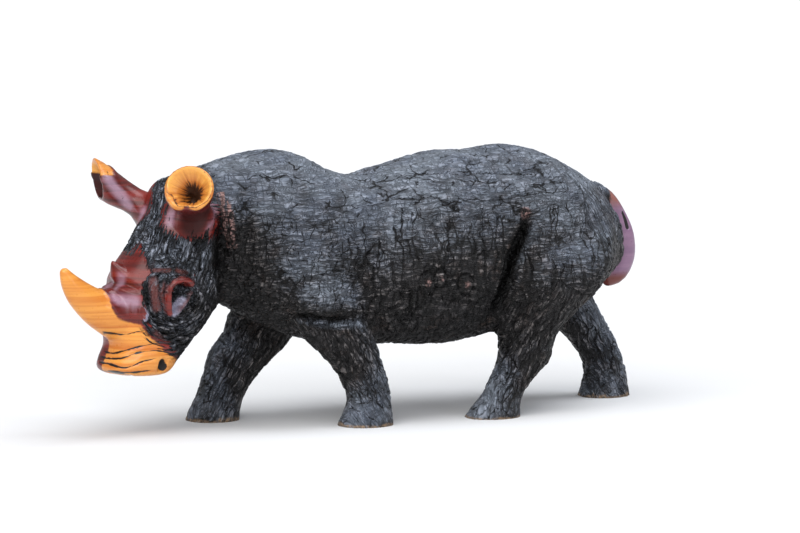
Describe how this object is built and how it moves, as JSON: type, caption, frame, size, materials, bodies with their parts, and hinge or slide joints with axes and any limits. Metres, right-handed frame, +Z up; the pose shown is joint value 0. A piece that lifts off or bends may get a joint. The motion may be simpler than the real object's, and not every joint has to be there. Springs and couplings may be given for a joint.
{
  "type": "animal figurine",
  "caption": "Walking rhinoceros carved from one block of two-coloured wood, with a chiselled black hide, polished red ears and folds, and a pale horn and muzzle; stands on four flat feet",
  "frame": {"origin": "middle of the figure's bounding box in plan, at the level of the four soles", "axes": "+Z up; the head is towards -X and the tail towards +X, along the figure's length; -Y is the figure's left side"},
  "size_m": [0.4084, 0.1214, 0.1695],
  "materials": {
    "carved_wood": "blackened and chiselled hide with a low waxed sheen; polished dark red heartwood on the ear backs, nose folds and tail; polished yellow sapwood on the long horn, muzzle and inside the ears"
  },
  "bodies": {
    "root": {"rhinoceros": "carved_wood"}
  },
  "joints": []
}
